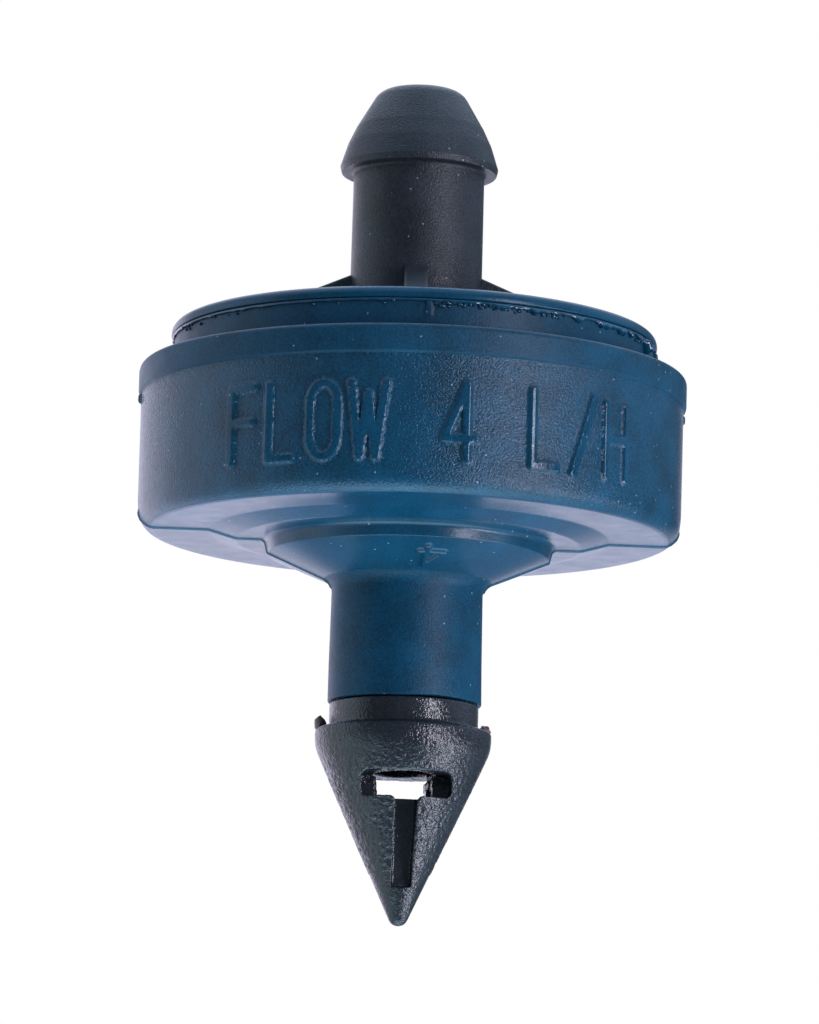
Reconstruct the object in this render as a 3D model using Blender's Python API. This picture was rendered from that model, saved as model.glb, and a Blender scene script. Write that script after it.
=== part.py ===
"""Pressure-compensating button drip emitter, as six separate mouldings.

The axis is +Z. The origin is on the axis at the inlet barb's shoulder, the face that catches behind
the pipe wall once the spike has been pushed through it. The outlet nipple points up.
Lengths below are in millimetres; turned() and the other makers turn them into metres.
"""
import bpy
import bmesh
from math import asin, atan2, cos, pi, radians, sin, tan
from mathutils import Matrix, Vector

MM = 0.001
GAP = 0.05           # clearance between seated faces
SEGMENTS = 48        # facets round each turned piece
ARC_STEP = radians(30)

# Inlet spike
SHOULDER_R = 3.35
SHOULDER_H = 0.68    # height of the band under the shoulder, which blends into the cone
SPIKE_HALF_ANGLE = radians(24.75)
SPIKE_TIP_R = 0.39
COLLAR_R = 2.84
COLLAR_TOP = 1.0     # also the pipe wall that the collar passes through
INLET_BORE_R = 1.00
SPIGOT_R = 2.20
SPIGOT_TOP = 7.90
SPIKE_TURN = radians(5)
WINDOW_TOP, WINDOW_BOTTOM = -1.80, -2.74
REAR_WINDOW_TOP = -1.42
WINDOW_W = 3.40
WINDOW_FLOOR_Y = 0.97
PASSAGE_W = 2.16
GROOVE_W = 0.85      # the T's stem, whose flat floor runs out where the cone narrows to it
GROOVE_FLOOR_Y = 0.93

# Housing
NECK_R, NECK_END_R = 2.88, 2.92
NECK_TOP = 5.60
BOSS_R, BOSS_Z = 5.42, 6.73
UNDERSIDE_IN_Z, UNDERSIDE_OUT_Z = 7.17, 7.45
WALL_R = 10.40
RIM_R, RIM_LOW_Z, RIM_TOP_Z = 10.50, 12.62, 13.69
SKIRT_R, SKIRT_TOP_Z = 9.00, 14.87
CAVITY_R, SHELF_R, SHELF_Z = 8.20, 7.75, 10.55
FLOOR_Z = 8.60
SEAT_R_IN, SEAT_R_OUT, SEAT_Z = 1.15, 1.60, 9.28
PADS, PAD_W, PAD_R_IN = 6, 0.60, 6.40

# Diaphragm
DIAPHRAGM_R, DIAPHRAGM_H = 7.55, 1.10
DIAPHRAGM_TRAVEL = 0.40

# Labyrinth disc
DISC_R = CAVITY_R - GAP
DISC_TOP_Z = 13.00
SEAL_R_IN, SEAL_R_OUT = 6.90, 7.35
CHAMBER_Z, GALLERY_Z = 11.60, 11.30
METER_R_IN, METER_R_OUT, METER_Z = 0.60, 1.10, 11.00
CHANNEL_R, CHANNEL_SWING, CHANNEL_HALF_W = 5.55, 0.62, 0.34
CHANNEL_DEPTH = 0.70
CHANNEL_WAVES, CHANNEL_SPAN = 16, radians(300)
NOTCH_W, PORT_R = 1.00, 0.40

# Outlet cover
COVER_BOTTOM_Z = DISC_TOP_Z + GAP
FLANGE_TOP_Z = SKIRT_TOP_Z - 0.02
PLATFORM_R, PLATFORM_Z = 7.50, 15.15
STEM_R, OUTLET_BORE_R = 2.54, 1.00
BARB_R, BARB_Z, NIPPLE_TOP_Z = 3.05, 21.60, 24.95
RIBS, RIB_W, RIB_TOP_Z, RIB_END_R = 4, 0.88, 17.64, 7.40
RIB_SLOPE = radians(21)

# Retaining ring
RING_R_IN, RING_R_OUT = 7.60, 9.33
RING_BOTTOM_Z, RING_TOP_Z = SKIRT_TOP_Z + GAP, 15.39


def material(name, colour, roughness):
    made = bpy.data.materials.new(name)
    made.use_nodes = True
    shader = made.node_tree.nodes["Principled BSDF"]
    shader.inputs["Base Color"].default_value = (*colour, 1.0)
    shader.inputs["Roughness"].default_value = roughness
    shader.inputs["Metallic"].default_value = 0.0
    return made


def rounded(corners):
    """Points of an open outline whose corners (r, z, fillet radius) are replaced by tangent arcs."""
    points = []
    for i, (r, z, fillet) in enumerate(corners):
        here = Vector((r, z))
        if not fillet:
            points.append(here)
            continue
        back = (Vector(corners[i - 1][:2]) - here).normalized()
        ahead = (Vector(corners[i + 1][:2]) - here).normalized()
        half = asin(min(1.0, (back - ahead).length / 2))
        centre = here + (back + ahead).normalized() * fillet / sin(half)
        start = here + back * fillet / tan(half) - centre
        end = here + ahead * fillet / tan(half) - centre
        turn = start.angle_signed(end)
        steps = max(2, round(abs(turn) / ARC_STEP))
        for k in range(steps + 1):
            angle = atan2(start.y, start.x) - turn * k / steps
            points.append(centre + fillet * Vector((cos(angle), sin(angle))))
    return points


def finish(bm, name, look):
    """Put a bmesh made in millimetres into a named object in metres, shaded smooth."""
    bmesh.ops.remove_doubles(bm, verts=bm.verts, dist=1e-4)
    bmesh.ops.recalc_face_normals(bm, faces=bm.faces)
    bm.transform(Matrix.Scale(MM, 4))
    mesh = bpy.data.meshes.new(name)
    bm.to_mesh(mesh)
    bm.free()
    mesh.shade_smooth()
    mesh.set_sharp_from_angle(angle=radians(35))
    if look:
        mesh.materials.append(look)
    made = bpy.data.objects.new(name, mesh)
    bpy.context.collection.objects.link(made)
    return made


def turned(name, corners, look, closed=True):
    """A piece turned about Z from its half outline. An outline that isn't closed ends on the axis."""
    bm = bmesh.new()
    verts = [bm.verts.new((p.x, 0.0, p.y)) for p in rounded(corners)]
    pairs = list(zip(verts, verts[1:])) + ([(verts[-1], verts[0])] if closed else [])
    edges = [bm.edges.new(pair) for pair in pairs]
    bmesh.ops.spin(bm, geom=verts + edges, cent=(0, 0, 0), axis=(0, 0, 1),
                   angle=2 * pi, steps=SEGMENTS, use_merge=True)
    return finish(bm, name, look)


def prism(name, outline, direction, look=None):
    """A closed flat outline of 3-D points, extruded along a direction."""
    bm = bmesh.new()
    face = bm.faces.new([bm.verts.new(p) for p in outline])
    swept = bmesh.ops.extrude_face_region(bm, geom=[face])["geom"]
    moved = [v for v in swept if isinstance(v, bmesh.types.BMVert)]
    bmesh.ops.translate(bm, verts=moved, vec=direction)
    return finish(bm, name, look)


def block(name, low, high):
    (x0, y0, z0), (x1, y1, z1) = low, high
    base = [(x0, y0, z0), (x1, y0, z0), (x1, y1, z0), (x0, y1, z0)]
    return prism(name, base, (0, 0, z1 - z0))


def combine(body, operation, tools):
    """Add a Boolean for each tool, which stays in the file as a hidden guide."""
    for tool in tools:
        step = body.modifiers.new(tool.name, "BOOLEAN")
        step.operation = operation
        step.object = tool
        tool.hide_render = True
        tool.display_type = "WIRE"
        tool.parent = body


def make_inlet_spike(look):
    """Self-piercing barb: spigot, collar, shoulder, cone, and a T window on each side to let water in."""
    apex = -SHOULDER_H - SHOULDER_R / tan(SPIKE_HALF_ANGLE)
    tip_centre = apex + SPIKE_TIP_R / sin(SPIKE_HALF_ANGLE)
    steps = 3
    sweep = (pi / 2 - SPIKE_HALF_ANGLE) / steps
    tip = [(SPIKE_TIP_R * sin(sweep * k), tip_centre - SPIKE_TIP_R * cos(sweep * k), 0)
           for k in range(steps, -1, -1)]
    bore_end = (WINDOW_TOP + WINDOW_BOTTOM) / 2
    spike = turned("inlet_spike", [
        (0, bore_end, 0), (INLET_BORE_R, bore_end, 0), (INLET_BORE_R, SPIGOT_TOP, 0),
        (SPIGOT_R, SPIGOT_TOP, 0.15), (SPIGOT_R, COLLAR_TOP - GAP / 2, 0),
        (COLLAR_R, COLLAR_TOP - GAP / 2, 0), (COLLAR_R, 0, 0.12), (SHOULDER_R, 0, 0.12),
        (SHOULDER_R, -SHOULDER_H, 1.3), *tip,
    ], look, closed=False)
    half, passage, far = WINDOW_W / 2, PASSAGE_W / 2, SHOULDER_R + 1
    stem, floor = GROOVE_W / 2, GROOVE_FLOOR_Y
    combine(spike, "DIFFERENCE", [
        block("front_window", (-half, -far, WINDOW_BOTTOM), (half, -WINDOW_FLOOR_Y, WINDOW_TOP)),
        block("rear_window", (-half, WINDOW_FLOOR_Y, WINDOW_BOTTOM), (half, far, REAR_WINDOW_TOP)),
        block("front_passage", (-passage, -far, WINDOW_BOTTOM), (passage, 0, WINDOW_TOP)),
        block("rear_passage", (-passage, -0.2, WINDOW_BOTTOM), (passage, far, REAR_WINDOW_TOP)),
        block("front_stem", (-stem, -far, apex), (stem, -floor, bore_end)),
        block("rear_stem", (-stem, floor, apex), (stem, far, bore_end)),
    ])
    spike.rotation_euler.z = SPIKE_TURN
    return spike


def make_housing(look):
    """Cup with the neck, stepped underside, wall, rim and skirt, and the no-leak seat on its floor."""
    housing = turned("housing", [
        (NECK_END_R, COLLAR_TOP + GAP / 2, 0), (NECK_R, NECK_TOP, 0.4), (BOSS_R, BOSS_Z, 0.1),
        (BOSS_R + 0.24, UNDERSIDE_IN_Z, 0.12), (6.60, UNDERSIDE_IN_Z, 0),
        (7.65, UNDERSIDE_OUT_Z, 0), (WALL_R, UNDERSIDE_OUT_Z, 0.45), (WALL_R - 0.02, RIM_LOW_Z, 0),
        (RIM_R, RIM_LOW_Z + 0.06, 0), (RIM_R, RIM_TOP_Z, 0.22), (SKIRT_R, RIM_TOP_Z, 0),
        (SKIRT_R, SKIRT_TOP_Z, 0), (CAVITY_R, SKIRT_TOP_Z, 0), (CAVITY_R, SHELF_Z, 0),
        (SHELF_R, SHELF_Z, 0), (SHELF_R, FLOOR_Z, 0), (SEAT_R_OUT + 0.25, FLOOR_Z, 0),
        (SEAT_R_OUT, SEAT_Z, 0), (SEAT_R_IN, SEAT_Z, 0), (INLET_BORE_R + 0.05, SEAT_Z - 0.2, 0),
        (INLET_BORE_R + 0.05, SPIGOT_TOP + GAP, 0), (SPIGOT_R + GAP, SPIGOT_TOP + GAP, 0),
        (SPIGOT_R + GAP, COLLAR_TOP + GAP / 2, 0),
    ], look)
    pads = []
    for i in range(PADS):
        pad = block(f"diaphragm_pad_{i + 1}", (PAD_R_IN, -PAD_W / 2, FLOOR_Z - 0.3),
                    (SHELF_R + 0.3, PAD_W / 2, SEAT_Z))
        pad.rotation_euler.z = 2 * pi * i / PADS
        pads.append(pad)
    combine(housing, "UNION", pads)
    return housing


def make_diaphragm(look):
    """Silicone disc that rises off the no-leak seat and closes on the labyrinth disc's seal ring."""
    bottom = SEAT_Z + GAP
    top = bottom + DIAPHRAGM_H
    return turned("diaphragm", [
        (0, bottom, 0), (DIAPHRAGM_R, bottom, 0.2), (DIAPHRAGM_R, top, 0.2), (0, top, 0),
    ], look, closed=False)


def channel_outline():
    """The zigzag flow channel seen from above: a triangle wave round the disc, of constant width."""
    steps = 2 * CHANNEL_WAVES
    sides = []
    for offset in (-CHANNEL_HALF_W, CHANNEL_HALF_W):
        side = []
        for k in range(steps + 1):
            angle = CHANNEL_SPAN * (k / steps - 0.5) + pi / 2
            r = CHANNEL_R + CHANNEL_SWING * (1 if k % 2 else -1) + offset
            side.append((r * cos(angle), r * sin(angle), DISC_TOP_Z - CHANNEL_DEPTH))
        sides.append(side)
    return sides[0] + sides[1][::-1]


def make_labyrinth_disc(look):
    """Disc with the flow channel on top, and the seal ring and metering seat underneath."""
    seal_z = SEAT_Z + GAP + DIAPHRAGM_H + DIAPHRAGM_TRAVEL + GAP
    disc = turned("labyrinth_disc", [
        (METER_R_IN, METER_Z, 0), (METER_R_OUT, METER_Z, 0), (METER_R_OUT + 0.15, CHAMBER_Z, 0),
        (SEAL_R_IN, CHAMBER_Z, 0), (SEAL_R_IN, seal_z, 0), (SEAL_R_OUT, seal_z, 0),
        (SEAL_R_OUT, GALLERY_Z, 0), (SHELF_R + GAP, GALLERY_Z, 0),
        (SHELF_R + GAP, SHELF_Z + GAP, 0), (DISC_R, SHELF_Z + GAP, 0), (DISC_R, DISC_TOP_Z, 0),
        (METER_R_IN, DISC_TOP_Z, 0),
    ], look)
    above = DISC_TOP_Z + 1
    channel_z = DISC_TOP_Z - CHANNEL_DEPTH
    start = pi / 2 - CHANNEL_SPAN / 2
    end = pi / 2 + CHANNEL_SPAN / 2
    first_r = CHANNEL_R - CHANNEL_SWING
    half = NOTCH_W / 2
    entry = block("entry_slot", (first_r, -half, channel_z - 0.05), (DISC_R + 1, half, above))
    drop = block("entry_drop", (SEAL_R_OUT + 0.05, -half - 0.1, SHELF_Z - 1),
                 (DISC_R + 2, half + 0.1, above + 1))
    entry.rotation_euler.z = drop.rotation_euler.z = start
    channel = prism("flow_channel", channel_outline(), (0, 0, above - channel_z))
    port = block("exit_port", (first_r - PORT_R, -PORT_R, CHAMBER_Z - 0.3),
                 (first_r + PORT_R, PORT_R, above + 1))
    port.rotation_euler.z = end
    combine(disc, "DIFFERENCE", [channel, entry, drop, port])
    return disc


def make_outlet_cover(look):
    """Lid with its flange, platform, four bracing ribs and the barbed outlet nipple."""
    cover = turned("outlet_cover", [
        (OUTLET_BORE_R, COVER_BOTTOM_Z, 0), (DISC_R, COVER_BOTTOM_Z, 0), (DISC_R, FLANGE_TOP_Z, 0),
        (PLATFORM_R, FLANGE_TOP_Z, 0), (PLATFORM_R, PLATFORM_Z, 0.12), (STEM_R, PLATFORM_Z, 0.3),
        (STEM_R, BARB_Z, 0.12), (BARB_R, BARB_Z, 0), (BARB_R, BARB_Z + 0.22, 0),
        (2.78, 22.75, 3.0), (2.30, 23.80, 1.0), (1.60, NIPPLE_TOP_Z, 0.4),
        (OUTLET_BORE_R + 0.1, NIPPLE_TOP_Z, 0), (OUTLET_BORE_R, NIPPLE_TOP_Z - 0.1, 0),
    ], look)
    root = STEM_R - 0.8
    end_z = RIB_TOP_Z - (RIB_END_R - STEM_R) * tan(RIB_SLOPE)
    root_z = RIB_TOP_Z + (STEM_R - root) * tan(RIB_SLOPE)
    ribs = []
    for i in range(RIBS):
        outline = [(x, -RIB_W / 2, z) for x, z in (
            (root, PLATFORM_Z - 0.5), (RIB_END_R, PLATFORM_Z - 0.5), (RIB_END_R, end_z),
            (root, root_z))]
        rib = prism(f"rib_{i + 1}", outline, (0, RIB_W, 0))
        rib.rotation_euler.z = 2 * pi * i / RIBS
        ribs.append(rib)
    combine(cover, "UNION", ribs)
    return cover


def make_retaining_ring(look):
    """Lip welded on the housing's skirt, which holds the cover's flange down."""
    return turned("retaining_ring", [
        (RING_R_IN, RING_BOTTOM_Z, 0), (RING_R_OUT, RING_BOTTOM_Z, 0.08),
        (RING_R_OUT, RING_TOP_Z, 0.25), (RING_R_IN, RING_TOP_Z, 0.06), (RING_R_IN, 15.0, 0),
    ], look)


def main():
    for old in list(bpy.data.objects):
        bpy.data.objects.remove(old)
    blue = material("blue_polyethylene", (0.012, 0.062, 0.115), 0.42)
    black = material("black_polyethylene", (0.020, 0.022, 0.026), 0.45)
    silicone = material("silicone_rubber", (0.035, 0.035, 0.038), 0.60)
    natural = material("natural_polyethylene", (0.60, 0.60, 0.57), 0.45)
    make_inlet_spike(black)
    make_housing(blue)
    make_diaphragm(silicone)
    make_labyrinth_disc(natural)
    make_outlet_cover(black)
    make_retaining_ring(blue)


main()
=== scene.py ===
"""Looks of the drip emitter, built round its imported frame.

Shapes are worked out in millimetres, in the frame's own axes: +Z up the emitter's axis from the
inlet spike to the outlet nipple, -Y towards the viewer. add_piece() turns them into metres.
"""
from math import asin, atan2, cos, hypot, pi, radians, sin, tan

import bmesh
import bpy
import numpy as np
from mathutils import Matrix, Quaternion, Vector, noise


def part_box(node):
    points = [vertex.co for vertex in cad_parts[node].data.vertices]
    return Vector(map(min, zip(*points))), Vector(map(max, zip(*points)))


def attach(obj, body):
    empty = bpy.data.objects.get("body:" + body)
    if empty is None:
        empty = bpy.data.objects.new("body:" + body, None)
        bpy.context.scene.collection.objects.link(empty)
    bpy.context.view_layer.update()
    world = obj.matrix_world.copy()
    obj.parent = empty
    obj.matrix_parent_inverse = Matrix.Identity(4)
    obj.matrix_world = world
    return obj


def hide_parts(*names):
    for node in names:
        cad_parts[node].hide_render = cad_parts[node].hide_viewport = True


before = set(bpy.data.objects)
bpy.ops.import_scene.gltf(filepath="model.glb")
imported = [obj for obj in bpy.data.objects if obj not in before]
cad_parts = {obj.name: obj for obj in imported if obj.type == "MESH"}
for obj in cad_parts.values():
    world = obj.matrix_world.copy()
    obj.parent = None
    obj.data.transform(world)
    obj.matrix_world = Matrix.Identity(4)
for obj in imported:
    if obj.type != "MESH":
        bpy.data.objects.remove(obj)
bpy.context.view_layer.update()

MM = 0.001
BODY, MOVING_BODY = "emitter_body", "diaphragm"
ARC_STEP = radians(7)
FRONT = -pi / 2


def frame_size(node, corner, axis):
    """A coordinate of a node's box, in millimetres: corner 0 is the lowest, 1 the highest."""
    return getattr(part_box(node)[corner], axis) / MM


# Sizes read from the frame
NIPPLE_TOP_Z = frame_size("outlet_cover", 1, "z")
COVER_BOTTOM_Z = frame_size("outlet_cover", 0, "z")
FLANGE_R = frame_size("outlet_cover", 1, "x")
RIM_R = frame_size("housing", 1, "x")
NECK_END_Z = frame_size("housing", 0, "z")
SKIRT_TOP_Z = frame_size("housing", 1, "z")
RING_BOTTOM_Z = frame_size("retaining_ring", 0, "z")
RING_TOP_Z = frame_size("retaining_ring", 1, "z")
RING_R = frame_size("retaining_ring", 1, "x")
DIAPHRAGM_LOW_Z = frame_size("diaphragm", 0, "z")
DIAPHRAGM_HIGH_Z = frame_size("diaphragm", 1, "z")
DIAPHRAGM_R = frame_size("diaphragm", 1, "x")
SPIGOT_TOP_Z = frame_size("inlet_spike", 1, "z")

# Sizes of the turned outlines
WALL_R, WALL_LOW_Z, WALL_TOP_Z, RIM_TOP_Z = 10.40, 7.47, 12.62, 13.74
SKIRT_R = 9.20
NECK_R, NECK_TOP_Z = 2.88, 5.60
BOSS_R, BOSS_LOW_R, BOSS_Z, STEP_Z = 5.38, 3.30, 6.66, 7.17
SHOULDER_R, SHOULDER_H, COLLAR_R = 3.35, 0.68, 2.84
SPIGOT_R, BORE_R = 2.20, 1.00
SPIKE_HALF_ANGLE = radians(24.6)
SPIKE_TIP_R, SPIKE_TURN = 0.39, radians(5)
STEM_R, BARB_R, BARB_Z = 2.54, 3.05, 21.67
PLATFORM_R, PLATFORM_Z = 7.50, 15.15
PARTING_TURN, TAB_TURN = radians(3.6), FRONT + radians(3.2)


# ---------------------------------------------------------------- outlines and meshes

def rounded(corners, step=ARC_STEP):
    """Points of an outline whose corners (r, z, fillet radius) are replaced by tangent arcs."""
    points = []
    for i, (r, z, fillet) in enumerate(corners):
        here = Vector((r, z))
        if not fillet:
            points.append((r, z))
            continue
        back = (Vector(corners[i - 1][:2]) - here).normalized()
        ahead = (Vector(corners[(i + 1) % len(corners)][:2]) - here).normalized()
        half = asin(min(1.0, (back - ahead).length / 2))
        centre = here + (back + ahead).normalized() * fillet / sin(half)
        start = here + back * fillet / tan(half) - centre
        end = here + ahead * fillet / tan(half) - centre
        turn = start.angle_signed(end)
        steps = max(3, round(abs(turn) / step))
        for k in range(steps + 1):
            angle = atan2(start.y, start.x) - turn * k / steps
            points.append((centre.x + fillet * cos(angle), centre.y + fillet * sin(angle)))
    return points


def densified(points, pitch, closed=True):
    """The outline with extra points, so that no stretch is longer than pitch(r, z)."""
    out = []
    ends = points[1:] + (points[:1] if closed else [])
    for (r0, z0), (r1, z1) in zip(points, ends):
        length = hypot(r1 - r0, z1 - z0)
        count = max(1, round(length / pitch((r0 + r1) / 2, (z0 + z1) / 2)))
        out += [(r0 + (r1 - r0) * k / count, z0 + (z1 - z0) * k / count) for k in range(count)]
    return out if closed else out + [points[-1]]


def even_angles(count):
    return np.arange(count) * 2 * pi / count


def add_object(name, mesh):
    """An object with this mesh, linked to the scene."""
    made = bpy.data.objects.new(name, mesh)
    bpy.context.scene.collection.objects.link(made)
    return made


def add_bmesh(name, bm):
    """An object from a finished bmesh, which is freed."""
    mesh = bpy.data.meshes.new(name)
    bm.to_mesh(mesh)
    bm.free()
    return add_object(name, mesh)


def add_piece(name, verts, faces, looks, sharp=radians(40)):
    """A smooth-shaded object in metres from millimetre vertices."""
    mesh = bpy.data.meshes.new(name)
    mesh.from_pydata((np.asarray(verts) * MM).tolist(), [], faces)
    mesh.update()
    mesh.shade_smooth()
    if sharp:
        mesh.set_sharp_from_angle(angle=sharp)
    mesh.materials.append(looks)
    return add_object(name, mesh)


def turned_mesh(points, angles, height=None):
    """Vertices and faces of a closed outline turned about Z.

    points run once round the outline, or from the axis back to the axis. height(r, angle, z) gives
    how far each vertex stands proud of the outline, along its outward normal.
    """
    on_axis = points[0][0] == 0
    line = np.array(points)
    area = np.sum(line[:, 0] * np.roll(line[:, 1], -1) - np.roll(line[:, 0], -1) * line[:, 1])
    side = 1 if area > 0 else -1
    tangent = np.roll(line, -1, axis=0) - np.roll(line, 1, axis=0)
    if on_axis:
        tangent[0], tangent[-1] = line[1] - line[0], line[-1] - line[-2]
    tangent /= np.linalg.norm(tangent, axis=1)[:, None]
    normal_r, normal_z = side * tangent[:, 1], -side * tangent[:, 0]
    r = np.repeat(line[:, :1], len(angles), axis=1)
    z = np.repeat(line[:, 1:], len(angles), axis=1)
    turn = np.broadcast_to(angles, r.shape)
    if height:
        proud = height(r, turn, z)
        r = r + proud * normal_r[:, None]
        z = z + proud * normal_z[:, None]
    grid = np.stack([r * np.cos(turn), r * np.sin(turn), z], axis=2)
    rows, columns = r.shape
    first, last = (1, rows - 1) if on_axis else (0, rows)
    verts = grid[first:last].reshape(-1, 3).tolist()

    def at(row, column):
        return (row - first) % (last - first) * columns + column % columns

    faces = []
    for i in range(first, last - 1 if on_axis else last):
        for j in range(columns):
            quad = (at(i, j), at(i, j + 1), at(i + 1, j + 1), at(i + 1, j))
            faces.append(quad if side > 0 else quad[::-1])
    if on_axis:
        for pole, row, way in ((line[0], first, 1), (line[-1], last - 1, -1)):
            verts.append([0.0, 0.0, pole[1]])
            for j in range(columns):
                tri = (len(verts) - 1, at(row, j + 1), at(row, j))
                faces.append(tri[::-1] if way * side > 0 else tri)
    return verts, faces


def smooth_step(x):
    x = np.clip(x, 0, 1)
    return x * x * (3 - 2 * x)


def scratch_object(name, verts, faces):
    """A helper object in millimetres, for modifiers that need room for their tolerances."""
    mesh = bpy.data.meshes.new(name)
    mesh.from_pydata([tuple(v) for v in verts], [], faces)
    return add_object(name, mesh)


def prism(name, outline, direction, bevel=0.0):
    """A closed body: a flat outline of 3-D points swept along a direction, with rounded edges."""
    bm = bmesh.new()
    face = bm.faces.new([bm.verts.new(p) for p in outline])
    swept = bmesh.ops.extrude_face_region(bm, geom=[face])["geom"]
    moved = [v for v in swept if isinstance(v, bmesh.types.BMVert)]
    bmesh.ops.translate(bm, verts=moved, vec=direction)
    bmesh.ops.recalc_face_normals(bm, faces=bm.faces)
    if bevel:
        bmesh.ops.bevel(bm, geom=bm.edges, offset=bevel, segments=3, profile=0.5,
                        affect="EDGES", clamp_overlap=True)
    return add_bmesh(name, bm)


def apply_modifiers(body):
    """Replace an object's mesh by what its modifiers make of it."""
    depsgraph = bpy.context.evaluated_depsgraph_get()
    mesh = bpy.data.meshes.new_from_object(body.evaluated_get(depsgraph))
    body.modifiers.clear()
    body.data = mesh


def combined(body, operation, tools):
    """Apply one Boolean per tool and delete the tools."""
    for tool in tools:
        step = body.modifiers.new(tool.name, "BOOLEAN")
        step.operation = operation
        step.object = tool
        step.solver = "EXACT"
    apply_modifiers(body)
    for tool in tools:
        bpy.data.objects.remove(tool)


# ---------------------------------------------------------------- materials

def node_tools(made):
    """One material's or world's node tree, and short helpers that add and link its nodes."""
    tree = made.node_tree

    def add(kind, **values):
        node = tree.nodes.new(kind)
        for key, value in values.items():
            if hasattr(node, key):
                setattr(node, key, value)
            else:
                node.inputs[key.replace("_", " ")].default_value = value
        return node

    def link(source, target):
        tree.links.new(source, target)

    return tree, add, link


DUST_CELL_MM, DUST_COLOUR = 0.25, (0.30, 0.38, 0.45)
# Painted shade: where the greyish tint that dulls the top of the wall begins and is full, and its
# colour
TOP_SHADE_LOW_Z, TOP_SHADE_FULL_Z, TOP_SHADE_COLOUR = 9.4, 12.2, (0.060, 0.078, 0.098)


def plastic(name, colour, roughness, grain_mm, grain_depth_mm, mottle=0.25, worms=False, dust=0.0,
            finish=False, specular=0.5, top_shade=0.0):
    """Moulded plastic: spark-eroded grain as bump, mottled colour and uneven gloss.

    mottle is how far the colour strays either way, as a part of itself. worms turns the grain into
    worm-like ridges. dust is the share of small cells that hold a pale speck. finish makes the
    grain follow the piece's "grain" attribute: 1 is the full grain, and where it is lower the skin
    is smoother and glossier. The last argument is the most of a painted shade: a greyish tint that
    thickens up the wall, so that its top reads duller and greyer than its better-lit lower part.
    """
    made = bpy.data.materials.new(name)
    made.use_nodes = True
    tree, add, link = node_tools(made)
    shader = tree.nodes["Principled BSDF"]
    shader.inputs["Metallic"].default_value = 0.0
    shader.inputs["IOR"].default_value = 1.5
    shader.inputs["Specular IOR Level"].default_value = specular
    place = add("ShaderNodeTexCoord").outputs["Object"]

    def noise_field(size_mm, detail, rough=0.5):
        node = add("ShaderNodeTexNoise", Scale=1 / (size_mm * MM), Detail=detail, Roughness=rough)
        link(place, node.inputs["Vector"])
        return node.outputs["Fac"]

    def span(value, low, high, out_low, out_high):
        node = add("ShaderNodeMapRange")
        node.clamp = True
        for socket, number in zip(("From Min", "From Max", "To Min", "To Max"),
                                  (low, high, out_low, out_high)):
            node.inputs[socket].default_value = number
        link(value, node.inputs["Value"])
        return node.outputs["Result"]

    def joined(operation, first, second):
        node = add("ShaderNodeMath", operation=operation)
        for socket, value in zip(node.inputs, (first, second)):
            if isinstance(value, float):
                socket.default_value = value
            else:
                link(value, socket)
        return node.outputs[0]

    def mixed(factor, first, second):
        node = add("ShaderNodeMix", data_type="RGBA")
        link(factor, node.inputs["Factor"])
        for socket, value in ((node.inputs[6], first), (node.inputs[7], second)):
            if isinstance(value, tuple):
                socket.default_value = (*value, 1.0)
            else:
                link(value, socket)
        return node.outputs[2]

    blotches = joined("ADD", noise_field(1.6, 3.0), noise_field(0.085, 1.0))
    cloudy = span(blotches, 0.7, 1.3, 0.0, 1.0)
    dark = tuple(c * (1 - mottle) for c in colour)
    light = tuple(c * (1 + mottle) for c in colour)
    base = mixed(cloudy, dark, light)
    if dust:
        cells = add("ShaderNodeTexVoronoi", Scale=1 / (DUST_CELL_MM * MM))
        link(place, cells.inputs["Vector"])
        near = span(cells.outputs["Distance"], 0.09, 0.17, 1.0, 0.0)
        chosen = span(cells.outputs["Color"], 1 - dust, 1 - dust + 0.02, 0.0, 1.0)
        base = mixed(joined("MULTIPLY", near, chosen), base, DUST_COLOUR)
    # Painted shade: a patchy greyish tint mixed in more and more up the wall, so that its top reads
    # duller than its better-lit lower part
    if top_shade:
        height = add("ShaderNodeSeparateXYZ")
        link(place, height.inputs[0])
        rising = span(height.outputs["Z"], TOP_SHADE_LOW_Z * MM, TOP_SHADE_FULL_Z * MM, 0.0, top_shade)
        patchy = span(noise_field(2.4, 3.0), 0.3, 0.7, 0.5, 1.0)
        base = mixed(joined("MULTIPLY", rising, patchy), base, TOP_SHADE_COLOUR)
    link(base, shader.inputs["Base Color"])

    uneven = span(noise_field(0.9, 2.0), 0.3, 0.7, roughness - 0.03, roughness + 0.03)
    grain = noise_field(grain_mm, 2.0, 0.55)
    if worms:
        cells = noise_field(grain_mm * 1.7, 1.0)
        grain = joined("ABSOLUTE", span(cells, 0.3, 0.7, -1.0, 1.0), 0.0)
    if finish:
        amount = add("ShaderNodeAttribute", attribute_name="grain").outputs["Fac"]
        uneven = joined("ADD", uneven, span(amount, 0.0, 1.0, -0.10, 0.0))
        grain = joined("MULTIPLY", grain, span(amount, 0.0, 1.0, 0.12, 1.0))
    link(uneven, shader.inputs["Roughness"])
    bump = add("ShaderNodeBump", Strength=1.0, Distance=grain_depth_mm * MM)
    link(grain, bump.inputs["Height"])
    link(bump.outputs["Normal"], shader.inputs["Normal"])
    return made


BLUE = (0.004, 0.063, 0.122)
BLACK = (0.024, 0.028, 0.036)
SOFT_BLACK = (0.030, 0.036, 0.046)

# The housing has three looks: its wall, its underside, and its skirt, rim and neck
# The wall's and the skirt's looks carry the painted shade that greys them towards the top
grained_blue = plastic("grained_blue", BLUE, 0.18, 0.075, 0.036, mottle=0.4, dust=0.23, finish=True,
                       top_shade=0.08)
smooth_blue = plastic("smooth_blue", BLUE, 0.29, 0.075, 0.016, dust=0.19, finish=True)
dull_blue = plastic("dull_blue", BLUE, 0.44, 0.075, 0.026, mottle=0.35, dust=0.21, finish=True,
                    specular=0.25, top_shade=0.12)

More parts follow.
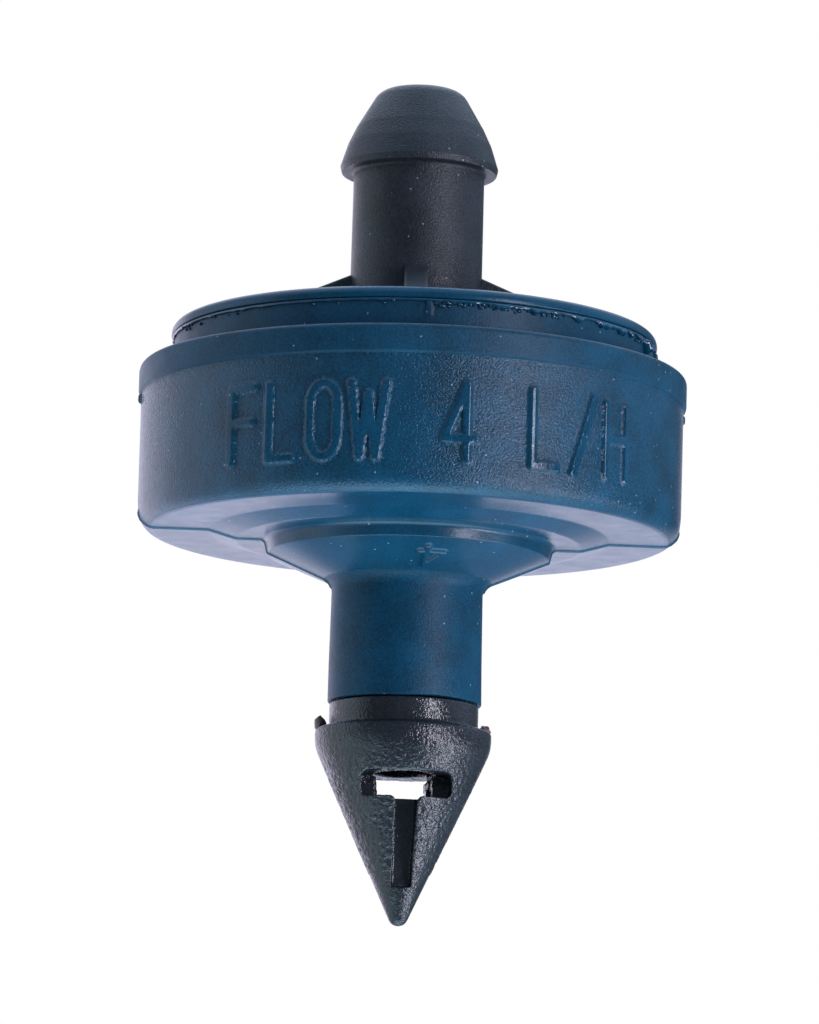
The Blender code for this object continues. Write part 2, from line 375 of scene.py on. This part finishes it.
ring_plastic = plastic("ring_plastic", BLUE, 0.24, 0.12, 0.006, dust=0.02, specular=0.35)
weld_plastic = plastic("weld_plastic", BLUE, 0.13, 0.12, 0.004, specular=0.9)
cover_plastic = plastic("cover_plastic", SOFT_BLACK, 0.30, 0.070, 0.034, mottle=0.4,
                        dust=0.19, specular=0.4)
spike_plastic = plastic("spike_plastic", BLACK, 0.19, 0.085, 0.011, mottle=0.4, worms=True,
                        finish=True, specular=0.68)
flash_plastic = plastic("flash_plastic", (0.24, 0.13, 0.14), 0.28, 0.10, 0.008)
silicone = plastic("silicone", (0.035, 0.035, 0.038), 0.62, 0.20, 0.004)
natural_plastic = plastic("natural_plastic", (0.60, 0.60, 0.57), 0.42, 0.15, 0.004, mottle=0.04)


# ---------------------------------------------------------------- raised lettering

LETTER_H, LETTER_W, STROKE, BEVEL, RELIEF = 3.10, 1.42, 0.34, 0.09, 0.13
LETTER_LOW_Z = 8.56
LETTER_PITCH = radians(9.3)
LETTERING_TURN = radians(5)


def bowl(low_y, start):
    """Half of the letter O: 180 degrees of an elliptic arc, from the start angle in degrees."""
    turns = [radians(start + 18 * k) for k in range(11)]
    return [(0.5 + 0.5 * cos(t), low_y + 0.28 * sin(t)) for t in turns]


# Each letter is a list of strokes in a box 1 wide and 1 high
GLYPHS = {
    "F": [[(0, 0), (0, 1), (0.95, 1)], [(0, 0.53), (0.85, 0.53)]],
    "O": [bowl(0.72, 0) + bowl(0.28, 180) + [(1, 0.72)]],
    "W": [[(-0.1, 1), (0.22, 0), (0.5, 0.85), (0.78, 0), (1.1, 1)]],
    "4": [[(0.75, 0), (0.75, 1), (0, 0.28), (1.05, 0.28)]],
    "L": [[(0, 1), (0, 0), (0.9, 0)]],
    "/": [[(0.05, -0.04), (0.95, 1.04)]],
    "H": [[(0, 0), (0, 1)], [(1, 0), (1, 1)], [(0, 0.52), (1, 0.52)]],
}


def stroke_distance(x, y, strokes):
    """Distance from each point to the nearest stroke, which are lists of points."""
    best = np.full(x.shape, 1e3)
    for stroke in strokes:
        for (x0, y0), (x1, y1) in zip(stroke, stroke[1:]):
            dx, dy = x1 - x0, y1 - y0
            along = np.clip(((x - x0) * dx + (y - y0) * dy) / (dx * dx + dy * dy + 1e-12), 0, 1)
            best = np.minimum(best, np.hypot(x - x0 - along * dx, y - y0 - along * dy))
    return best


def placed(letter, centre_x, low_y, width, height):
    """A letter's strokes, moved and scaled, with its line's middle inside the box."""
    return [[(centre_x + (px - 0.5) * width, low_y + py * height) for px, py in stroke]
            for stroke in GLYPHS[letter]]


def wall_strokes():
    """The flow marking round the wall, in millimetres of arc and height."""
    text = "FLOW 4 L/H"
    inner_w, inner_h = LETTER_W - STROKE, LETTER_H - STROKE
    strokes = []
    for i, letter in enumerate(text):
        if letter == " ":
            continue
        centre = (LETTERING_TURN + (i - (len(text) - 1) / 2) * LETTER_PITCH) * WALL_R
        strokes += placed(letter, centre, LETTER_LOW_Z + STROKE / 2, inner_w, inner_h)
    return strokes


WALL_STROKES = wall_strokes()
DIGIT_R, DIGIT_H, DIGIT_W, DIGIT_TURN = 4.15, 1.25, 0.85, radians(12.0)
DIGIT_STROKE, DIGIT_BEVEL, DIGIT_RELIEF = 0.20, 0.09, 0.8
DIGIT_STROKES = placed("4", DIGIT_TURN * DIGIT_R, DIGIT_R + DIGIT_H / 2, -DIGIT_W, -DIGIT_H)


def raised(distance, stroke, bevel):
    """1 on a stroke's flat top, falling to 0 across its bevel."""
    return smooth_step((stroke / 2 - distance) / bevel + 0.5)


def lettering(r, turn, z):
    """How much of the lettering's relief each vertex has, from 0 to 1.

    The flow marking is on the wall, its edges a little uneven, and a digit is on the boss.
    """
    off_front = (turn - FRONT + pi) % (2 * pi) - pi
    on_wall = (r > WALL_R - 0.1) & (z > LETTER_LOW_Z - 0.3) & (z < LETTER_LOW_Z + LETTER_H + 0.3)
    ragged = 0.012 * np.sin(off_front * 310) * np.sin(z * 29)
    ragged += 0.008 * np.sin(off_front * 720 + z * 50)
    wall = raised(stroke_distance(off_front * WALL_R, z, WALL_STROKES) + ragged, STROKE, BEVEL)
    on_boss = (r > BOSS_LOW_R) & (r < BOSS_R - 0.05) & (z < BOSS_Z) & (z > NECK_TOP_Z)
    digit = raised(stroke_distance(off_front * DIGIT_R, r, DIGIT_STROKES), DIGIT_STROKE,
                   DIGIT_BEVEL)
    return np.where(on_wall, wall, 0) + np.where(on_boss, DIGIT_RELIEF * digit, 0)


# ---------------------------------------------------------------- housing

def housing_height(r, turn, z):
    """Everything that stands proud of the turned housing.

    That is the letters, the parting line with its fins under the rim, a small tab on the skirt and
    the uneven lower edge of the neck.
    """
    proud = RELIEF * lettering(r, turn, z)
    across = np.minimum(abs((turn - PARTING_TURN + pi) % (2 * pi) - pi),
                        abs((turn - PARTING_TURN) % (2 * pi) - pi)) * r
    underneath = (z < WALL_LOW_Z + 0.6) & (r > NECK_R + 0.02) & (z > NECK_TOP_Z - 0.5)
    proud += np.where(underneath, 0.055 * np.exp(-(across / 0.07) ** 2), 0)
    on_wall = (r > WALL_R - 0.2) & (z < RIM_TOP_Z - 0.2)
    proud += np.where(on_wall, 0.012 * np.exp(-(across / 0.055) ** 2), 0)
    fin = smooth_step((z - WALL_TOP_Z + 0.42) / 0.12) * smooth_step((WALL_TOP_Z + 0.02 - z) / 0.06)
    proud += np.where(r > WALL_R - 0.1, 0.12 * fin * np.exp(-(across / 0.09) ** 2), 0)
    off_tab = abs((turn - TAB_TURN + pi) % (2 * pi) - pi) * SKIRT_R
    tab = smooth_step((0.15 - off_tab) / 0.05) * smooth_step((z - SKIRT_TOP_Z + 0.58) / 0.06)
    on_skirt = (r > SKIRT_R - 0.05) & (r < SKIRT_R + 0.05) & (z > RIM_TOP_Z + 0.2)
    proud += np.where(on_skirt & (z < SKIRT_TOP_Z - 0.01), 0.06 * tab, 0)
    neck_end = (z < NECK_END_Z + 0.35) & (r > NECK_R - 0.05)
    proud += np.where(neck_end, 0.015 * np.sin(turn * 3 + 1) + 0.01 * np.sin(turn * 7), 0)
    return proud


def housing_grain(r, turn, z):
    """How rough the mould left the skin at each vertex, from 0 to 1."""
    grain = np.full(r.shape, 0.30)
    grain = np.where((r > WALL_R - 0.5) & (z < WALL_TOP_Z), 1.0, grain)
    grain = np.where((r > WALL_R) & (z > WALL_TOP_Z - 0.02), 0.55, grain)
    grain = np.where(z < NECK_TOP_Z + 0.1, 0.75, grain)
    grain = np.where((r < SKIRT_R + 0.1) & (z > RIM_TOP_Z), 0.40, grain)
    return grain * (1 - 0.85 * np.clip(lettering(r, turn, z), 0, 1))


def housing_angles():
    """Columns: fine over the letters and at the parting lines, coarse elsewhere."""
    columns = [np.arange(0, 2 * pi, radians(2.5))]
    half = LETTER_PITCH * 5.2
    columns.append(np.arange(-half, half, radians(0.36)) + LETTERING_TURN + FRONT)
    for side in (0, pi):
        columns.append(np.arange(-1.6, 1.6, 0.16) * pi / 180 + PARTING_TURN + side)
    angles = np.unique(np.round(np.concatenate(columns) % (2 * pi), 5))
    keep = np.diff(angles, append=angles[0] + 2 * pi) > radians(0.12)
    return angles[keep]


def make_housing():
    """The cup: neck, stepped underside, wall, rim and skirt, with the chamber inside."""
    cavity_r, shelf_r, shelf_z, floor_z = FLANGE_R + 0.05, 7.75, 10.55, 8.60
    hole_r, spigot_hole_r, seat_z = BORE_R + 0.05, SPIGOT_R + 0.05, 9.28
    corners = [
        (NECK_R + 0.05, NECK_END_Z, 0.07), (NECK_R, NECK_TOP_Z, 0.55), (BOSS_R, BOSS_Z, 0.05),
        (BOSS_R + 0.12, STEP_Z, 0.24), (6.60, STEP_Z, 0.6), (7.65, WALL_LOW_Z, 0.6),
        (WALL_R - 0.13, WALL_LOW_Z, 0.62), (WALL_R - 0.02, WALL_LOW_Z + 0.9, 3.0),
        (WALL_R - 0.01, WALL_TOP_Z, 0.03),
        (RIM_R, WALL_TOP_Z + 0.07, 0.04), (RIM_R, RIM_TOP_Z, 0.22), (SKIRT_R, RIM_TOP_Z, 0.15),
        (SKIRT_R, SKIRT_TOP_Z, 0.02), (cavity_r, SKIRT_TOP_Z, 0.05), (cavity_r, shelf_z, 0),
        (shelf_r, shelf_z, 0), (shelf_r, floor_z, 0.2), (1.85, floor_z, 0), (1.60, seat_z, 0.08),
        (1.15, seat_z, 0.05), (hole_r, seat_z - 0.2, 0), (hole_r, SPIGOT_TOP_Z + 0.05, 0),
        (spigot_hole_r, SPIGOT_TOP_Z + 0.05, 0), (spigot_hole_r, NECK_END_Z, 0.03),
    ]

    def pitch(r, z):
        if r > WALL_R - 0.2 and LETTER_LOW_Z - 0.2 < z < LETTER_LOW_Z + LETTER_H + 0.2:
            return 0.062
        if r > WALL_R - 0.2 and z > WALL_TOP_Z - 0.5:
            return 0.09
        if BOSS_LOW_R < r < BOSS_R and z < BOSS_Z:
            return 0.06
        if abs(r - SKIRT_R) < 0.05:
            return 0.12
        return 1.2

    outline = densified(rounded(corners), pitch)
    angles = housing_angles()
    verts, faces = turned_mesh(outline, angles, housing_height)
    made = add_piece("housing_shell", verts, faces, grained_blue, sharp=radians(50))
    made.data.materials.append(smooth_blue)
    made.data.materials.append(dull_blue)
    line = np.array(outline)
    r, z = (np.repeat(line[:, i:i + 1], len(angles), axis=1) for i in (0, 1))
    finish = np.where((r > WALL_R - 0.35) & (z < WALL_TOP_Z), 0, 1)
    finish = np.where((z > WALL_TOP_Z) | (z < NECK_TOP_Z + 0.15), 2, finish).ravel()
    made.data.polygons.foreach_set("material_index", [int(finish[list(f)].min()) for f in faces])
    amount = made.data.attributes.new("grain", "FLOAT", "POINT")
    amount.data.foreach_set("value", housing_grain(r, np.broadcast_to(angles, r.shape), z)
                            .astype(np.float32).ravel())
    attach(made, BODY)
    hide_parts("housing")


# ---------------------------------------------------------------- retaining ring and its weld

def make_ring():
    """The lip that is welded on top of the skirt."""
    inner_r = 7.60
    outline = rounded([
        (inner_r, RING_BOTTOM_Z, 0.03), (RING_R, RING_BOTTOM_Z, 0.06),
        (RING_R - 0.02, RING_TOP_Z, 0.36), (inner_r, RING_TOP_Z, 0.08),
    ])
    verts, faces = turned_mesh(densified(outline, lambda r, z: 0.4), even_angles(240))
    ring = add_piece("retaining_lip", verts, faces, ring_plastic)
    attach(ring, BODY)
    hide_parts("retaining_ring")


WELD_SEED, WELD_BUMPS, WELD_TEETH = 7, 150, 34
DROP_SEED, FRONT_DROPS, ALL_DROPS = 11, 80, 110


def weld_size(turn):
    """How far the squeezed-out weld bead hangs below the lip at each angle, in millimetres."""
    off_front = (turn - FRONT + pi) % (2 * pi) - pi
    random = np.random.default_rng(WELD_SEED)
    size = 0.05 + 0.015 * np.sin(off_front * 37) + 0.012 * np.sin(off_front * 83 + 1)
    for _ in range(WELD_BUMPS):
        bump, place = random.uniform(0, 0.07), random.uniform(-pi, pi)
        size += bump * np.exp(-((off_front - place) / 0.009) ** 2)
    toothed = smooth_step((off_front - 0.15) / 0.5) * smooth_step((1.75 - off_front) / 0.3)
    for _ in range(WELD_TEETH):
        place, width = random.uniform(0.15, 1.6), random.uniform(0.008, 0.024)
        tooth = random.uniform(0.12, 0.50)
        size += toothed * tooth * np.exp(-((off_front - place) / width) ** 2)
    return size


def make_weld():
    """The ragged bead of melted plastic squeezed out between the lip and the skirt, with drops."""
    angles = even_angles(900)
    rows = 14
    outline, bead_r = [], 0.045
    for k in range(rows):
        turn = 2 * pi * k / rows
        outline.append((SKIRT_R + 0.05 + bead_r * cos(turn),
                        RING_BOTTOM_Z - 0.06 + bead_r * sin(turn)))

    def height(r, turn, z):
        lower = np.clip((RING_BOTTOM_Z - 0.05 - z) / (2 * bead_r), 0, 1)
        return weld_size(turn) * lower ** 1.5

    verts, faces = turned_mesh(outline, angles, height)
    random = np.random.default_rng(DROP_SEED)
    drops = []
    for i in range(ALL_DROPS):
        if i < FRONT_DROPS:
            off_front = random.triangular(-0.05, 0.35, 0.95)
        else:
            off_front = random.uniform(-1.3, 1.4)
        size = random.uniform(0.03, 0.075)
        r, z = SKIRT_R + 0.3 * size, RING_BOTTOM_Z - 0.08 - random.uniform(0, 0.22)
        turn = FRONT + off_front
        drops.append(flash_lump(f"drop_{i}", (r * cos(turn), r * sin(turn), z),
                                (size * 1.2, size * 1.2, size), float(i)))
    weld = add_piece("weld_bead", *merged(drops, verts, faces), weld_plastic)
    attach(weld, BODY)


# ---------------------------------------------------------------- outlet cover

def make_cover():
    """The lid with its four ribs and the barbed outlet nipple."""
    bore_r = 1.0
    outline = rounded([
        (bore_r, COVER_BOTTOM_Z, 0.05), (FLANGE_R, COVER_BOTTOM_Z, 0.1),
        (FLANGE_R, SKIRT_TOP_Z - 0.02, 0.05), (PLATFORM_R, SKIRT_TOP_Z - 0.02, 0.03),
        (PLATFORM_R, PLATFORM_Z, 0.12), (STEM_R, PLATFORM_Z, 0.35), (STEM_R - 0.02, BARB_Z, 0.14),
        (BARB_R - 0.06, BARB_Z - 0.02, 0.05), (BARB_R, BARB_Z + 0.22, 0.08),
        (2.78, 22.75, 1.2), (2.47, 23.42, 0.35), (1.58, NIPPLE_TOP_Z, 0.75),
        (bore_r, NIPPLE_TOP_Z, 0.10),
    ])
    verts, faces = turned_mesh(densified(outline, lambda r, z: 0.5), even_angles(192))
    cover = scratch_object("cover", verts, faces)
    rib_w, rib_top_z, rib_end_r, slope = 0.88, 17.56, 7.30, radians(23)
    root = STEM_R - 0.5
    end_z = rib_top_z - (rib_end_r - STEM_R) * tan(slope)
    root_z = rib_top_z + (STEM_R - root) * tan(slope)
    ribs = []
    for i in range(4):
        outline = [(x, -rib_w / 2, z) for x, z in (
            (root, PLATFORM_Z - 0.6), (rib_end_r, PLATFORM_Z - 0.6), (rib_end_r, end_z),
            (root, root_z))]
        rib = prism(f"rib_{i + 1}", outline, (0, rib_w, 0), bevel=0.10)
        rib.rotation_euler.z = i * pi / 2
        ribs.append(rib)
    bpy.context.view_layer.update()
    combined(cover, "UNION", ribs)
    verts = np.array([tuple(v.co) for v in cover.data.vertices])
    faces = [tuple(p.vertices) for p in cover.data.polygons]
    bpy.data.objects.remove(cover)
    made = add_piece("nipple_cover", verts, faces, cover_plastic, sharp=radians(35))
    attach(made, BODY)
    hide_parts("outlet_cover")


# ---------------------------------------------------------------- inlet spike

WINDOW_TOP, WINDOW_BOTTOM, REAR_WINDOW_TOP = -1.80, -2.74, -1.56
WINDOW_W, WINDOW_FLOOR_Y, PASSAGE_W, REAR_PASSAGE_W = 3.48, 0.97, 2.16, 1.84
WINDOW_CORNER_R, PASSAGE_CORNER_R, WINDOW_ARC_STEP = 0.28, 0.20, radians(20)
GROOVE_W, GROOVE_FLOOR_Y, GROOVE_LOW_Z = 0.85, 1.32, -6.05


BORE_END_Z = (WINDOW_TOP + WINDOW_BOTTOM) / 2
OUTSIDE = SHOULDER_R + 1
WORM_H, FINE_H, SPIKE_VOXEL = 0.028, 0.008, 0.05


def window_cutter(name, width, high_z, y0, y1, radius):
    """A block along Y whose outline seen from the front has round corners."""
    half = width / 2
    outline = rounded([(-half, WINDOW_BOTTOM, radius), (half, WINDOW_BOTTOM, radius),
                       (half, high_z, radius), (-half, high_z, radius)], WINDOW_ARC_STEP)
    return prism(name, [(x, y0, z) for x, z in outline], (0, y1 - y0, 0))


def flash_lump(name, centre, size, seed):
    """A torn bit of flash: a small lopsided blob."""
    bm = bmesh.new()
    bmesh.ops.create_icosphere(bm, subdivisions=2, radius=1.0)
    for v in bm.verts:
        v.co *= 1 + 0.35 * noise.noise(v.co * 1.7 + Vector((seed, 0, 0)))
        v.co = Vector(centre) + Vector([a * b for a, b in zip(v.co, size)])
    return add_bmesh(name, bm)


def merged(lumps, verts, faces):
    """The vertices and faces, with those of some helper objects added. The objects are deleted."""
    for lump in lumps:
        faces = faces + [tuple(i + len(verts) for i in p.vertices) for p in lump.data.polygons]
        verts = verts + [tuple(v.co) for v in lump.data.vertices]
        bpy.data.objects.remove(lump)
    return verts, faces


def make_flash():
    """Two torn, half-clear bits of flash left on the shoulder's edge."""
    lumps = [flash_lump("flash_left", (-3.16, -0.25, 0.12), (0.24, 0.24, 0.32), 1.0),
             flash_lump("flash_right", (3.10, 0.25, 0.08), (0.22, 0.22, 0.26), 5.0)]
    made = add_piece("moulding_flash", *merged(lumps, [], []), flash_plastic)
    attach(made, BODY)


def spike_grain(co, normal):
    """Height of the coarse worm-like grain at a point of the spike, in millimetres."""
    if hypot(co.x, co.y) < BORE_R + 0.15 or co.z > 0.05:
        return 0.0
    ridge = 1 - 2.2 * abs(noise.noise(Vector((co.x, co.y, co.z * 0.8)) * 4.6))
    fine = noise.noise(co * 12)
    fade = min(1.0, max(0.30, (-0.3 - co.z) / 1.8))
    return fade * (WORM_H * ridge + FINE_H * fine) * (1.0 if normal.z < 0.8 else 0.3)


def stem_cutter(name, side):
    """The T's stem on one face: a groove, shallower and narrower downwards, that ends in a ramp."""
    outline = [(side * y, z) for y, z in (
        (OUTSIDE, BORE_END_Z), (GROOVE_FLOOR_Y, BORE_END_Z), (1.16, -3.6),
        (0.56, GROOVE_LOW_Z + 0.25), (0.62, GROOVE_LOW_Z), (OUTSIDE, GROOVE_LOW_Z))]
    cutter = prism(name, [(-GROOVE_W / 2, y, z) for y, z in outline], (GROOVE_W, 0, 0))
    for v in cutter.data.vertices:
        v.co.x *= 1 - 0.035 * (BORE_END_Z - v.co.z)
    return cutter


def flare_cutter(name, side):
    """The small chamfers where the stem meets the bar of the T."""
    half, chamfer = GROOVE_W / 2, 0.15
    outline = [(-half - chamfer, WINDOW_BOTTOM + 0.2), (-half - chamfer, WINDOW_BOTTOM),
               (-half + 0.01, WINDOW_BOTTOM - chamfer), (half - 0.01, WINDOW_BOTTOM - chamfer),
               (half + chamfer, WINDOW_BOTTOM), (half + chamfer, WINDOW_BOTTOM + 0.2)]
    far = side * OUTSIDE
    return prism(name, [(x, far, z) for x, z in outline], (0, side * GROOVE_FLOOR_Y - far, 0))


def roof_cutter(name):
    """The oval recess the bore opens into, above the front window's thin upper lip."""
    turns = [2 * pi * k / 40 for k in range(40)]
    return prism(name, [(1.25 * cos(t), -0.30 + 2.15 * sin(t), WINDOW_TOP - 0.1) for t in turns],
                 (0, 0, 0.80))


def make_spike():
    """The inlet spike: a turned body, cut, evened out and softened, then given its coarse grain."""
    apex = -SHOULDER_H - SHOULDER_R / tan(SPIKE_HALF_ANGLE)
    tip_centre = apex + SPIKE_TIP_R / sin(SPIKE_HALF_ANGLE)
    steps = 8
    sweep = (pi / 2 - SPIKE_HALF_ANGLE) / steps
    tip = [(SPIKE_TIP_R * sin(sweep * k), tip_centre - SPIKE_TIP_R * cos(sweep * k))
           for k in range(steps, 0, -1)] + [(0, tip_centre - SPIKE_TIP_R)]
    outline = rounded([
        (0, BORE_END_Z, 0), (BORE_R, BORE_END_Z, 0), (BORE_R, SPIGOT_TOP_Z, 0.08),
        (SPIGOT_R, SPIGOT_TOP_Z, 0.2), (SPIGOT_R, NECK_END_Z - 0.05, 0),
        (COLLAR_R, NECK_END_Z - 0.05, 0.04), (COLLAR_R, 0, 0.14), (SHOULDER_R, 0, 0.16),
        (SHOULDER_R, -SHOULDER_H, 1.5), (*tip[0], 0),
    ]) + tip[1:]
    verts, faces = turned_mesh(densified(outline, lambda r, z: 0.4, closed=False), even_angles(160))
    spike = scratch_object("spike", verts, faces)
    combined(spike, "DIFFERENCE", [
        window_cutter("front_window", WINDOW_W, WINDOW_TOP, -OUTSIDE, -WINDOW_FLOOR_Y,
                      WINDOW_CORNER_R),
        window_cutter("rear_window", WINDOW_W, REAR_WINDOW_TOP, WINDOW_FLOOR_Y, OUTSIDE,
                      WINDOW_CORNER_R),
        window_cutter("front_passage", PASSAGE_W, WINDOW_TOP, -OUTSIDE, 0.01, PASSAGE_CORNER_R),
        window_cutter("rear_passage", REAR_PASSAGE_W, REAR_WINDOW_TOP, -0.01, OUTSIDE,
                      PASSAGE_CORNER_R),
        stem_cutter("front_stem", -1),
        stem_cutter("rear_stem", 1),
        flare_cutter("front_flare", -1),
        flare_cutter("rear_flare", 1),
        roof_cutter("window_roof"),
    ])
    remesh = spike.modifiers.new("even_mesh", "REMESH")
    remesh.mode, remesh.voxel_size = "VOXEL", SPIKE_VOXEL
    soften = spike.modifiers.new("soft_edges", "SMOOTH")
    soften.factor, soften.iterations = 0.5, 4
    apply_modifiers(spike)
    mesh = spike.data
    skin = np.array([(z, r) for r, z in outline if r > 0 and z < -0.12])[::-1]
    turn = Matrix.Rotation(SPIKE_TURN, 3, "Z")
    verts, grain = [], []
    for v in mesh.vertices:
        co = v.co.copy()
        r, skin_r = hypot(co.x, co.y), np.interp(co.z, skin[:, 0], skin[:, 1])
        if skin[0, 0] < co.z < skin[-1, 0] and abs(r - skin_r) < 0.03:
            co.xy *= skin_r / r
        outside = r > skin_r - 0.12
        height = spike_grain(co, v.normal) if outside else 0.0
        verts.append(tuple(turn @ (co + v.normal * height)))
        grain.append(1.0 if outside and co.z < -0.1 else 0.7 if outside else 0.5)
    faces = [tuple(p.vertices) for p in mesh.polygons]
    bpy.data.objects.remove(spike)
    made = add_piece("inlet_barb", verts, faces, spike_plastic, sharp=None)
    made.data.attributes.new("grain", "FLOAT", "POINT").data.foreach_set("value", grain)
    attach(made, BODY)
    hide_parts("inlet_spike")


# ---------------------------------------------------------------- inner pieces

def make_diaphragm():
    """Silicone disc with a soft rounded rim and a shallow moulded groove on each face."""
    low, high, edge = DIAPHRAGM_LOW_Z, DIAPHRAGM_HIGH_Z, 0.3
    outline = rounded([
        (0, low, 0), (5.6, low, 0.3), (5.8, low + 0.06, 0.2), (6.2, low + 0.06, 0.2),
        (6.4, low, 0.3), (DIAPHRAGM_R, low, edge), (DIAPHRAGM_R, high, edge), (6.4, high, 0.3),
        (6.2, high - 0.06, 0.2), (5.8, high - 0.06, 0.2), (5.6, high, 0.3), (0, high, 0),
    ])
    verts, faces = turned_mesh(outline, even_angles(144))
    made = add_piece("silicone_diaphragm", verts, faces, silicone)
    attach(made, MOVING_BODY)
    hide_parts("diaphragm")


def finish_labyrinth():
    """The flow disc keeps its CAD shape and gets the natural plastic's finish."""
    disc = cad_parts["labyrinth_disc"]
    if not disc.material_slots:
        disc.data.materials.append(natural_plastic)
    for slot in disc.material_slots:
        slot.material = natural_plastic


# ---------------------------------------------------------------- stage, light and camera

# In millimetres and radians
TARGET_Z = 8.45
CAMERA_DISTANCE, CAMERA_ELEVATION, CAMERA_ROLL = 230.0, radians(-9.65), radians(1.64)
LENS, SENSOR_WIDTH = 211.36640625, 36.0
FLOOR_Z, FLOOR_R = -420.0, 1500.0


def make_floor():
    """Pale paper far below, seen only by the camera, so that it gives the object no light."""
    bm = bmesh.new()
    bmesh.ops.create_circle(bm, cap_ends=True, radius=FLOOR_R * MM, segments=96,
                            matrix=Matrix.Translation((0, 0, FLOOR_Z * MM)))
    floor = add_bmesh("floor", bm)
    made = bpy.data.materials.new("floor_paper")
    made.use_nodes = True
    tree, add, link = node_tools(made)
    shader = tree.nodes["Principled BSDF"]
    shader.inputs["Roughness"].default_value = 0.9
    shader.inputs["Emission Strength"].default_value = 0.40
    shader.inputs["Emission Color"].default_value = (1.0, 1.0, 1.0, 1.0)
    fibres = add("ShaderNodeTexNoise", Scale=400.0, Detail=4.0)
    tone = add("ShaderNodeMapRange", To_Min=0.78, To_Max=0.82)
    link(fibres.outputs["Fac"], tone.inputs["Value"])
    link(tone.outputs["Result"], shader.inputs["Base Color"])
    floor.data.materials.append(made)
    floor.visible_glossy = floor.visible_diffuse = floor.visible_shadow = False


# The soft panels round the object. Azimuth and elevation in degrees (0 is the front, + is to the
# right and up), the half-angles to which a panel is full and at which it has faded, and its colour
PANELS = {
    "sweep_behind": (-166, 1, 17, 33, (1.00, 0.93, 1.15)),
    "back_low": (180, -45, 12, 35, (0.15, 0.25, 0.45)),
    "left_back": (-135, -12, 15, 35, (0.62, 0.57, 0.70)),
    "left": (-92, 0, 15, 35, (0.48, 0.56, 0.60)),
    "left_low": (-75, -38, 15, 40, (0.46, 0.56, 0.62)),
    "left_high": (-110, 42, 15, 45, (0.50, 0.55, 0.70)),
    "right_high": (105, 42, 15, 45, (0.35, 0.45, 0.60)),
    "key_up": (46, 10, 4, 10, (11.0, 11.0, 12.8)),
    "key_middle": (46, -11, 5, 11, (11.0, 10.6, 12.4)),
    "key_low": (64, -32, 6, 15, (5.0, 5.0, 5.9)),
    "side_low": (78, -28, 7, 17, (2.6, 2.7, 3.2)),
    "from_below": (0, -90, 18, 40, (1.50, 2.30, 2.75)),
    "behind_high": (180, 50, 14, 34, (0.95, 1.10, 1.35)),
    "from_above": (0, 85, 20, 50, (0.42, 0.62, 0.85)),
    "right_low": (100, -45, 15, 40, (0.35, 0.50, 0.60)),
}
ROOM = (0.09, 0.12, 0.15)


def make_world():
    """A dim room with soft light panels. The camera sees plain white behind the object."""
    world = bpy.data.worlds.new("studio")
    bpy.context.scene.world = world
    world.use_nodes = True
    tree, add, link = node_tools(world)
    background = tree.nodes["Background"]
    direction = add("ShaderNodeTexCoord").outputs["Generated"]
    total = None
    for name, (azimuth, elevation, inner, outer, colour) in PANELS.items():
        a, e = radians(azimuth), radians(elevation)
        facing = add("ShaderNodeVectorMath", operation="DOT_PRODUCT")
        link(direction, facing.inputs[0])
        facing.inputs[1].default_value = (sin(a) * cos(e), -cos(a) * cos(e), sin(e))
        fade = add("ShaderNodeMapRange", interpolation_type="SMOOTHSTEP")
        fade.inputs["From Min"].default_value = cos(radians(outer))
        fade.inputs["From Max"].default_value = cos(radians(inner))
        link(facing.outputs["Value"], fade.inputs["Value"])
        panel = add("ShaderNodeVectorMath", operation="MULTIPLY_ADD", label=name)
        link(fade.outputs["Result"], panel.inputs[0])
        panel.inputs[1].default_value = colour
        if total:
            link(total, panel.inputs[2])
        else:
            panel.inputs[2].default_value = ROOM
        total = panel.outputs["Vector"]
    seen = add("ShaderNodeMix", data_type="RGBA")
    link(add("ShaderNodeLightPath").outputs["Is Camera Ray"], seen.inputs["Factor"])
    link(total, seen.inputs[6])
    seen.inputs[7].default_value = (1.0, 1.0, 1.0, 1.0)
    link(seen.outputs[2], background.inputs["Color"])


def make_camera():
    """The view from a little below, with the long side of the frame upright."""
    data = bpy.data.cameras.new("camera")
    camera = bpy.data.objects.new("camera", data)
    bpy.context.scene.collection.objects.link(camera)
    data.sensor_width, data.lens = SENSOR_WIDTH, LENS
    data.clip_start, data.clip_end = 0.01, 10.0
    back = Vector((0, -cos(CAMERA_ELEVATION), sin(CAMERA_ELEVATION)))
    camera.location = (Vector((0, 0, TARGET_Z)) + back * CAMERA_DISTANCE) * MM
    camera.rotation_mode = "QUATERNION"
    camera.rotation_quaternion = (back.to_track_quat("Z", "Y")
                                  @ Quaternion((0, 0, 1), CAMERA_ROLL))
    bpy.context.scene.camera = camera


bpy.context.scene.view_settings.view_transform = "Standard"
make_camera()
make_floor()
make_world()
make_housing()
make_ring()
make_weld()
make_cover()
make_spike()
make_flash()
make_diaphragm()
finish_labyrinth()
